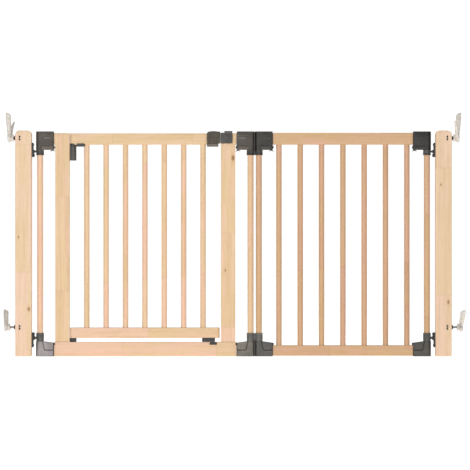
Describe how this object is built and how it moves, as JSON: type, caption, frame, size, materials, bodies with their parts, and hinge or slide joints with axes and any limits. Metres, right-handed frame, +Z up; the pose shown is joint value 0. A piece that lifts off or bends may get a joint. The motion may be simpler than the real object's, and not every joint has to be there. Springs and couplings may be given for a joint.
{
  "type": "safety baby gate",
  "caption": "Wooden clamp-fit safety gate for stairs and wide openings: a swinging barred door element and a fixed barred panel hinged between clamp posts.",
  "frame": {"origin": "middle of the gate at floor level, midway between the outermost claws", "axes": "+X along the gate towards the fixed panel, -Y the front, +Z up"},
  "size_m": [1.6696, 0.1728, 0.88],
  "materials": {
    "wood_post": "satin lacquered beech",
    "wood_frame": "satin lacquered beech, edge-glued strips",
    "wood_slat": "satin lacquered beech, turned",
    "wood_slat_warm": "satin lacquered beech, redder",
    "wood_dowel": "satin lacquered beech, turned",
    "plastic_dark": "satin moulded nylon, anthracite",
    "plastic_pale": "satin moulded nylon, undyed",
    "steel": "zinc plated"
  },
  "bodies": {
    "post_left": {"post_left": "wood_post", "wall_bracket_left_upper": "plastic_dark", "wall_bracket_left_lower": "plastic_dark", "clamp_nut_left_upper": "steel", "clamp_nut_left_lower": "steel"},
    "door_frame": {"connector_door_left_upper": "plastic_dark", "connector_door_left_lower": "plastic_dark", "connector_door_right_upper": "plastic_dark", "connector_door_right_lower": "plastic_dark", "dowel_door_left": "wood_dowel", "dowel_door_right": "wood_dowel", "threshold": "wood_frame", "hinge_stile": "wood_frame", "latch_stile": "wood_frame", "striker_housing": "plastic_dark", "hinge_barrel": "plastic_dark", "lower_pivot": "plastic_dark"},
    "hinge_pin": {"hinge_pin": "steel"},
    "door_leaf": {"leaf_bottom_rail": "wood_frame", "leaf_top_rail": "wood_frame", "hinge_bracket": "plastic_dark", "handle_housing": "plastic_dark", "leaf_slat_1": "wood_slat", "leaf_slat_2": "wood_slat", "leaf_slat_3": "wood_slat", "leaf_slat_4": "wood_slat", "leaf_slat_5": "wood_slat", "leaf_slat_6": "wood_slat", "leaf_slat_7": "wood_slat"},
    "lock_slider": {"lock_slider": "plastic_dark"},
    "middle_link": {"middle_link_upper": "plastic_dark", "middle_link_lower": "plastic_dark"},
    "fixed_panel": {"connector_panel_left_upper": "plastic_dark", "connector_panel_left_lower": "plastic_dark", "connector_panel_right_upper": "plastic_dark", "connector_panel_right_lower": "plastic_dark", "dowel_panel_left": "wood_dowel", "dowel_panel_right": "wood_dowel", "panel_top_rail": "wood_frame", "panel_bottom_rail": "wood_frame", "panel_slat_1": "wood_slat_warm", "panel_slat_2": "wood_slat_warm", "panel_slat_3": "wood_slat_warm", "panel_slat_4": "wood_slat_warm", "panel_slat_5": "wood_slat_warm", "panel_slat_6": "wood_slat_warm", "panel_slat_7": "wood_slat_warm"},
    "post_right": {"post_right": "wood_post", "wall_bracket_right_upper": "plastic_dark", "wall_bracket_right_lower": "plastic_dark", "clamp_nut_right_upper": "steel", "clamp_nut_right_lower": "steel"},
    "spindle_left_upper": {"spindle_left_upper": "steel"},
    "claw_left_upper": {"claw_left_upper": "plastic_pale"},
    "spindle_left_lower": {"spindle_left_lower": "steel"},
    "claw_left_lower": {"claw_left_lower": "plastic_pale"},
    "spindle_right_upper": {"spindle_right_upper": "steel"},
    "claw_right_upper": {"claw_right_upper": "plastic_pale"},
    "spindle_right_lower": {"spindle_right_lower": "steel"},
    "claw_right_lower": {"claw_right_lower": "plastic_pale"}
  },
  "joints": [
    {"name": "door_angle", "type": "hinge", "parent": "post_left", "child": "door_frame", "pos_m": [-0.6985, 0, 0.4], "axis": [0, 0, 1], "range_deg": [-45, 45]},
    {"name": "leaf_swing", "type": "hinge", "parent": "door_frame", "child": "hinge_pin", "pos_m": [-0.579, 0, 0.4], "axis": [0, 0, 1], "range_deg": [-90, 90]},
    {"name": "leaf_lift", "type": "slide", "parent": "hinge_pin", "child": "door_leaf", "axis": [0, 0, 1], "range_m": [0, 0.008]},
    {"name": "lock_slide", "type": "slide", "parent": "door_leaf", "child": "lock_slider", "axis": [1, 0, 0], "range_m": [0, 0.008]},
    {"name": "link_angle_door", "type": "hinge", "parent": "door_frame", "child": "middle_link", "pos_m": [0.0615, 0, 0.4], "axis": [0, 0, 1], "range_deg": [-45, 45]},
    {"name": "link_angle_panel", "type": "hinge", "parent": "middle_link", "child": "fixed_panel", "pos_m": [0.0915, 0, 0.4], "axis": [0, 0, 1], "range_deg": [-45, 45]},
    {"name": "panel_angle", "type": "hinge", "parent": "fixed_panel", "child": "post_right", "pos_m": [0.6985, 0, 0.4], "axis": [0, 0, 1], "range_deg": [-45, 45]},
    {"name": "clamp_left_upper", "type": "slide", "parent": "post_left", "child": "spindle_left_upper", "axis": [-1, 0, 0], "range_m": [-0.001, 0.025]},
    {"name": "claw_turn_left_upper", "type": "hinge", "parent": "spindle_left_upper", "child": "claw_left_upper", "pos_m": [-0.81, 0, 0.788], "axis": [-1, 0, 0], "continuous": true},
    {"name": "clamp_left_lower", "type": "slide", "parent": "post_left", "child": "spindle_left_lower", "axis": [-1, 0, 0], "range_m": [-0.012, 0.016]},
    {"name": "claw_turn_left_lower", "type": "hinge", "parent": "spindle_left_lower", "child": "claw_left_lower", "pos_m": [-0.81, 0, 0.105], "axis": [-1, 0, 0], "continuous": true},
    {"name": "clamp_right_upper", "type": "slide", "parent": "post_right", "child": "spindle_right_upper", "axis": [1, 0, 0], "range_m": [-0.001, 0.025]},
    {"name": "claw_turn_right_upper", "type": "hinge", "parent": "spindle_right_upper", "child": "claw_right_upper", "pos_m": [0.81, 0, 0.788], "axis": [1, 0, 0], "continuous": true},
    {"name": "clamp_right_lower", "type": "slide", "parent": "post_right", "child": "spindle_right_lower", "axis": [1, 0, 0], "range_m": [-0.012, 0.016]},
    {"name": "claw_turn_right_lower", "type": "hinge", "parent": "spindle_right_lower", "child": "claw_right_lower", "pos_m": [0.81, 0, 0.105], "axis": [1, 0, 0], "continuous": true}
  ]
}
